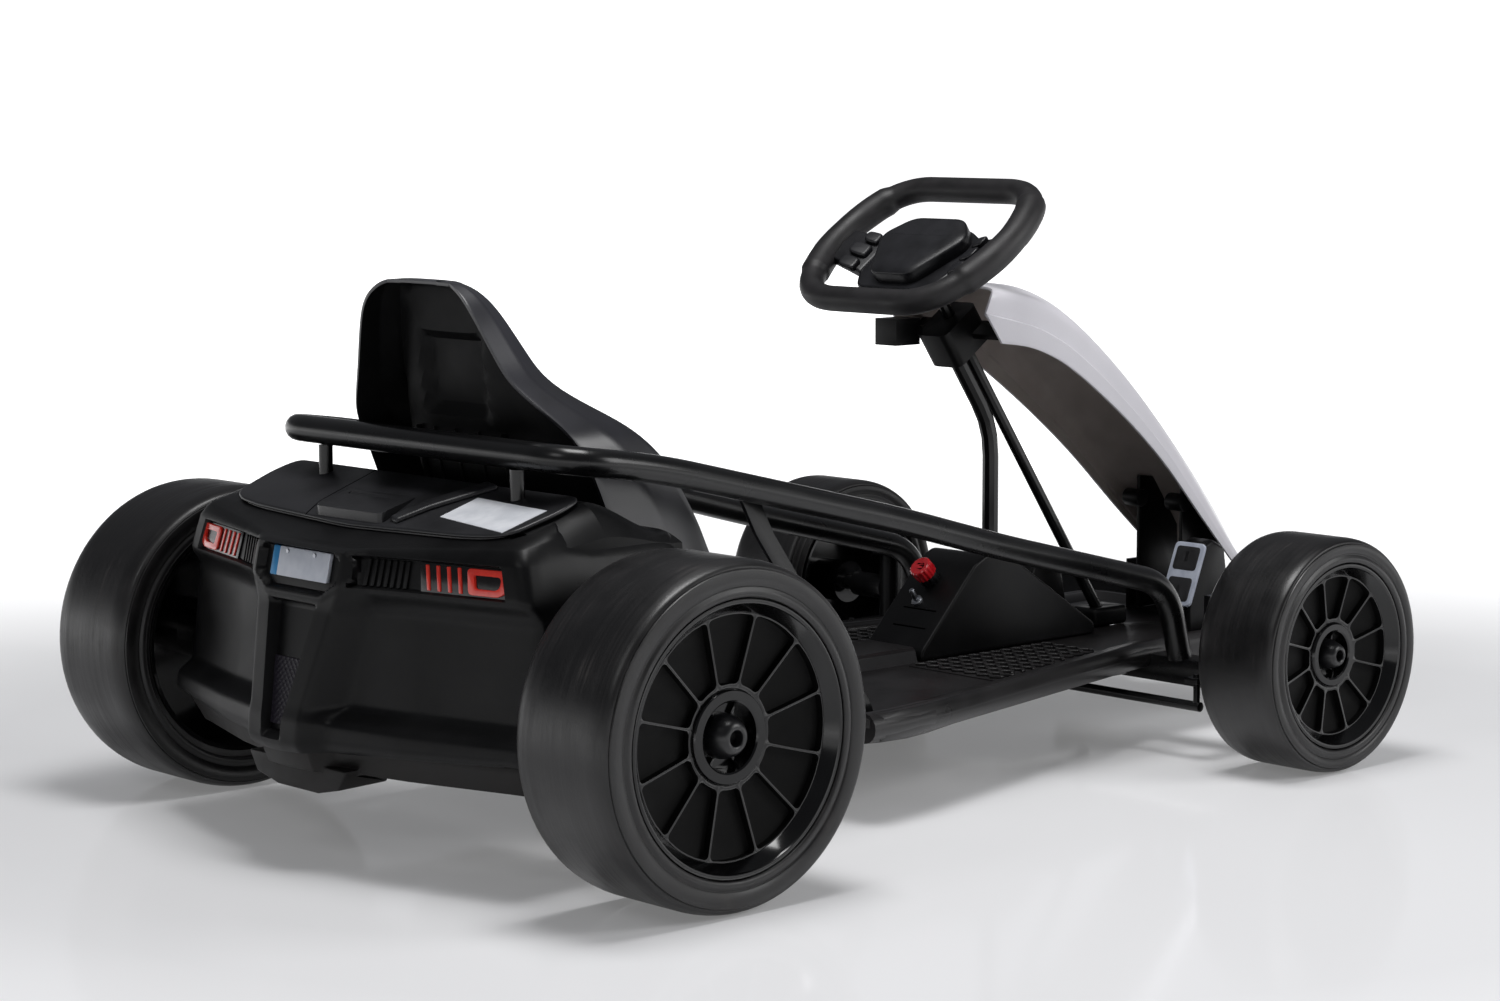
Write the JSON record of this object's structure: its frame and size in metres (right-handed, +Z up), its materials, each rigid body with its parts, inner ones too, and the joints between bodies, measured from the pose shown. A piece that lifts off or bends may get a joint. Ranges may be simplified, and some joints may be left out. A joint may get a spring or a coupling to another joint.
{
  "type": "child's electric drift kart",
  "caption": "Low ride-on drift kart for a child: bucket seat inside a tube guard rail, flat floor, squared steering wheel on a raked column, white nose fairing, ribbed slick wheels.",
  "frame": {"origin": "on the ground under the middle of the kart's length and width", "axes": "+X forward along the kart, +Y to the driver's left, +Z up"},
  "size_m": [1.293, 0.813, 0.5741],
  "materials": {
    "black_plastic": "grained",
    "seat_plastic": "satin",
    "gloss_black": "gloss",
    "cap_black": "satin",
    "tyre_plastic": "matte",
    "black_paint": "gloss",
    "white_plastic": "gloss",
    "lamp_red": "gloss",
    "plate_white": "satin",
    "pedal_grey": "satin",
    "steel": "bright",
    "wheel_grip": "grained"
  },
  "bodies": {
    "chassis": {"battery": "black_plastic", "bumper": "black_plastic", "column_block": "black_plastic", "column_bush": "black_plastic", "console": "black_plastic", "drive_pedal": "black_plastic", "fairing": "white_plastic", "fairing_bracket": "black_plastic", "floor_pan": "black_plastic", "foot_rest": "black_plastic", "frame_tube_left": "black_paint", "frame_tube_right": "black_paint", "front_beam": "black_paint", "gearbox_left": "black_plastic", "gearbox_right": "black_plastic", "number_plate": "plate_white", "pedal_pad": "pedal_grey", "push_button": "lamp_red", "rail_left": "black_paint", "rail_rear": "black_paint", "rail_right": "black_paint", "rail_strut_left": "black_paint", "rail_strut_right": "black_paint", "rear_axle": "steel", "rear_beam": "black_paint", "rear_cover": "black_plastic", "rear_lid": "black_plastic", "seat": "seat_plastic", "steering_post": "black_paint", "tail_lamp_left": "lamp_red", "tail_lamp_right": "lamp_red", "under_tray": "black_plastic"},
    "steering": {"steering_shaft": "black_paint", "steering_wheel": "wheel_grip", "steering_hub": "black_plastic", "steering_pad": "black_plastic"},
    "knuckle_left": {"knuckle_left": "black_paint"},
    "knuckle_right": {"knuckle_right": "black_paint"},
    "tie_rod": {"tie_rod": "black_paint"},
    "wheel_rear_left": {"rear_left_tyre": "tyre_plastic", "rear_left_rim": "gloss_black", "rear_left_cap": "cap_black"},
    "wheel_rear_right": {"rear_right_tyre": "tyre_plastic", "rear_right_rim": "gloss_black", "rear_right_cap": "cap_black"},
    "wheel_front_left": {"front_left_tyre": "tyre_plastic", "front_left_rim": "gloss_black", "front_left_cap": "cap_black"},
    "wheel_front_right": {"front_right_tyre": "tyre_plastic", "front_right_rim": "gloss_black", "front_right_cap": "cap_black"}
  },
  "joints": [
    {"name": "steering", "type": "hinge", "parent": "chassis", "child": "steering", "pos_m": [0.1345, 0, 0.505], "axis": [-0.5736, 0, 0.8192], "range_deg": [-25, 25]},
    {"name": "kingpin_left", "type": "hinge", "parent": "chassis", "child": "knuckle_left", "pos_m": [0.3415, 0.245, 0.115], "axis": [0, 0, 1], "range_deg": [-25, 25]},
    {"name": "kingpin_right", "type": "hinge", "parent": "chassis", "child": "knuckle_right", "pos_m": [0.3415, -0.245, 0.115], "axis": [0, 0, 1], "range_deg": [-25, 25]},
    {"name": "tie_rod_pivot", "type": "hinge", "parent": "knuckle_left", "child": "tie_rod", "pos_m": [0.2835, 0.245, 0.08], "axis": [0, 0, 1], "range_deg": [-25, 25]},
    {"name": "rear_wheel_left", "type": "hinge", "parent": "chassis", "child": "wheel_rear_left", "pos_m": [-0.4685, 0.3485, 0.145], "axis": [0, 1, 0], "continuous": true},
    {"name": "rear_wheel_right", "type": "hinge", "parent": "chassis", "child": "wheel_rear_right", "pos_m": [-0.4685, -0.3485, 0.145], "axis": [0, 1, 0], "continuous": true},
    {"name": "front_wheel_left", "type": "hinge", "parent": "knuckle_left", "child": "wheel_front_left", "pos_m": [0.3415, 0.336, 0.115], "axis": [0, 1, 0], "continuous": true},
    {"name": "front_wheel_right", "type": "hinge", "parent": "knuckle_right", "child": "wheel_front_right", "pos_m": [0.3415, -0.336, 0.115], "axis": [0, 1, 0], "continuous": true}
  ],
  "couplings": [
    {"joint": "kingpin_left", "follows": "steering", "ratio": 1},
    {"joint": "kingpin_right", "follows": "steering", "ratio": 1},
    {"joint": "tie_rod_pivot", "follows": "steering", "ratio": -1}
  ]
}
